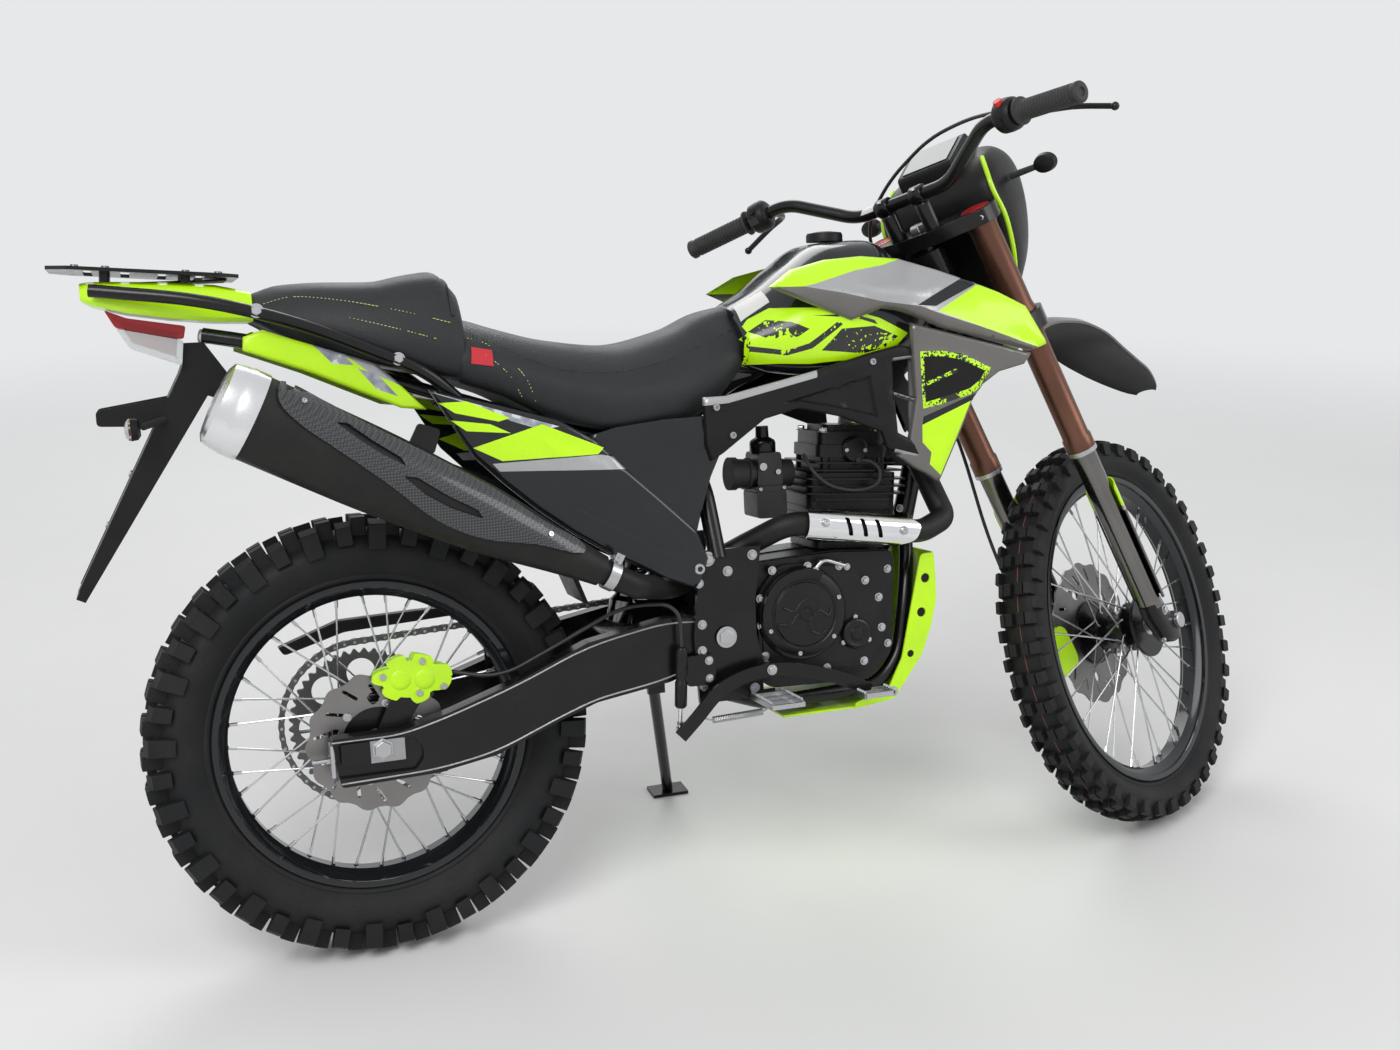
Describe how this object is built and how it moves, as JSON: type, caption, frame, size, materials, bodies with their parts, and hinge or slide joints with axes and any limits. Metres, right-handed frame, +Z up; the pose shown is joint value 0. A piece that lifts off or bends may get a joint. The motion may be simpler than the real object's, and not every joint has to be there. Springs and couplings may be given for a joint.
{
  "type": "dual sport motorcycle",
  "caption": "Upright trail motorcycle with spoked wheels, high fenders and long fork, leaning on its side stand with the bars turned to the stop.",
  "frame": {"origin": "On the ground, in the middle of the box around the machine as it rests", "axes": "+X forward along the machine, +Y to the rider's left, +Z up"},
  "size_m": [2.0808, 0.7094, 1.3014],
  "materials": {
    "tyre_rubber": "matte",
    "black_rim": "gloss",
    "bright_steel": "satin",
    "chrome": "gloss",
    "black_steel": "satin",
    "black_alloy": "satin",
    "alloy": "satin",
    "bronze_anodised": "satin",
    "neon_paint": "gloss",
    "grey_plastic": "gloss",
    "gloss_black": "gloss",
    "matte_black": "matte",
    "seat_vinyl": "matte",
    "grip_rubber": "matte",
    "red_lens": "gloss",
    "clear_lens": "gloss",
    "spring_steel": "satin"
  },
  "bodies": {
    "chassis": {"air_box": "matte_black", "carburettor": "alloy", "chain": "black_steel", "chain_guard": "matte_black", "crankcase": "black_alloy", "cylinder": "black_alloy", "drive_sprocket": "bright_steel", "engine_covers": "black_alloy", "exhaust_header": "black_steel", "foot_controls": "black_steel", "foot_pegs": "bright_steel", "frame": "black_steel", "fuel_tank": "matte_black", "grab_rails": "black_steel", "header_shield": "chrome", "lower_shrouds": "grey_plastic", "muffler": "black_steel", "rack_plate": "black_steel", "rear_axle": "bright_steel", "rear_brake_hose": "matte_black", "rear_caliper": "neon_paint", "rear_fender": "matte_black", "rear_lights": "red_lens", "rear_master_cylinder": "bright_steel", "seat": "seat_vinyl", "shock_absorber": "spring_steel", "side_panels": "gloss_black", "skid_plate": "neon_paint", "swingarm": "black_steel", "tail_cowl": "neon_paint", "tail_panels": "neon_paint", "tank_side_covers": "gloss_black", "upper_shrouds": "neon_paint"},
    "rear_wheel": {"rear_tyre": "tyre_rubber", "rear_rim": "black_rim", "rear_hub": "bright_steel", "rear_disc": "bright_steel", "rear_sprocket": "bright_steel"},
    "front_wheel": {"front_tyre": "tyre_rubber", "front_rim": "black_rim", "front_hub": "bright_steel", "front_disc": "bright_steel"},
    "side_stand": {"side_stand": "black_steel"},
    "steering": {"triple_clamps": "black_steel", "fork_tubes": "bronze_anodised", "fork_legs": "alloy", "fork_guards": "matte_black", "front_axle": "bright_steel", "front_caliper": "neon_paint", "front_fender": "grey_plastic", "handlebar": "black_steel", "grips": "grip_rubber", "controls": "black_steel", "headlight_mask": "gloss_black", "front_lights": "clear_lens", "instrument": "matte_black", "front_brake_hose": "matte_black"}
  },
  "joints": [
    {"name": "steering_turn", "type": "hinge", "parent": "chassis", "child": "steering", "pos_m": [0.67629, -0.11435, 0.31715], "axis": [-0.4236, 0.143, 0.8945], "range_deg": [-62, 0]},
    {"name": "front_wheel_spin", "type": "hinge", "parent": "steering", "child": "front_wheel", "pos_m": [0.72285, -0.08036, 0.33377], "axis": [-0.4671, 0.8116, -0.3509], "continuous": true},
    {"name": "rear_wheel_spin", "type": "hinge", "parent": "chassis", "child": "rear_wheel", "pos_m": [-0.6414, -0.11219, 0.33621], "axis": [-0.0007, 0.9874, -0.1582], "continuous": true},
    {"name": "side_stand_fold", "type": "hinge", "parent": "chassis", "child": "side_stand", "pos_m": [-0.14152, 0.02986, 0.30729], "axis": [0.0836, 0.8385, 0.5384], "range_deg": [0, 105]}
  ]
}
